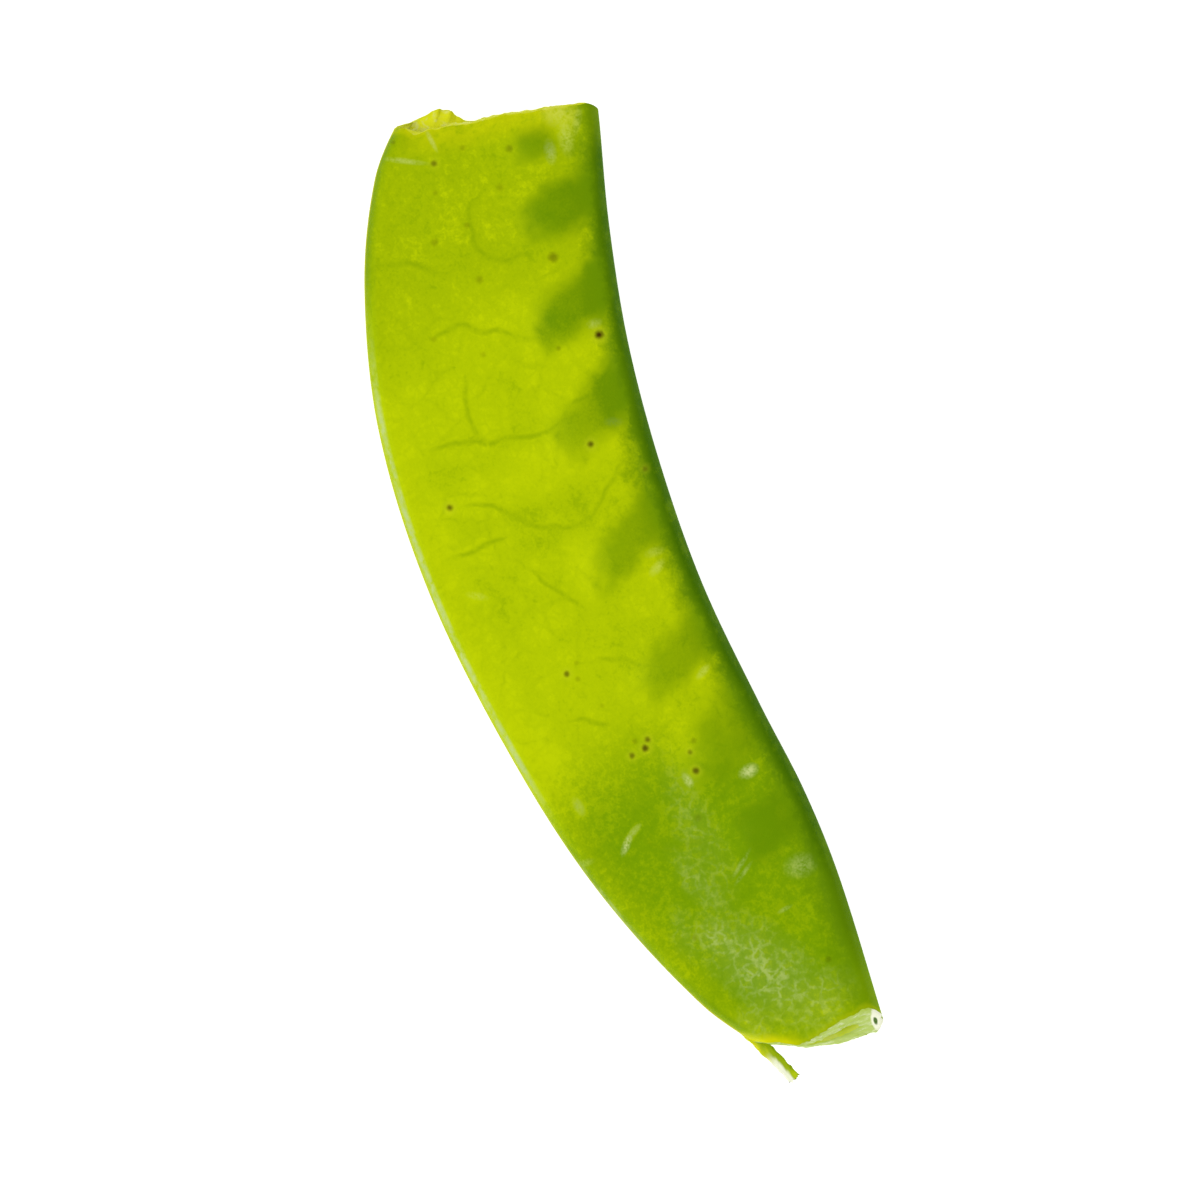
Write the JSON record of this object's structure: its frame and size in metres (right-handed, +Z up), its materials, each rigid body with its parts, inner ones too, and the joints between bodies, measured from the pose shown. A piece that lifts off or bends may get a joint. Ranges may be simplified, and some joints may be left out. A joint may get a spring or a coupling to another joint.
{
  "type": "snow pea pod",
  "caption": "Flat curved green pea pod with small unripe peas inside, trimmed open at both ends, lying on its side.",
  "frame": {"origin": "on the surface it lies on, under the centre of the pod's bounding box", "axes": "+X along the pod from its wide torn end to its narrow cut end; +Y across it, from the convex back seam to the concave seam that the peas hang from; +Z up, out of the side that shows"},
  "size_m": [0.0722, 0.0223, 0.0047],
  "materials": {
    "pod_skin": "smooth waxy green skin, thin and slightly translucent, moist pale green where it is cut",
    "unripe_pea": "moist smooth mid-green seed coat"
  },
  "bodies": {
    "root": {"pod": "pod_skin", "pea_1": "unripe_pea", "pea_2": "unripe_pea", "pea_3": "unripe_pea", "pea_4": "unripe_pea", "pea_5": "unripe_pea", "pea_6": "unripe_pea", "pea_7": "unripe_pea", "pea_8": "unripe_pea"}
  },
  "joints": []
}
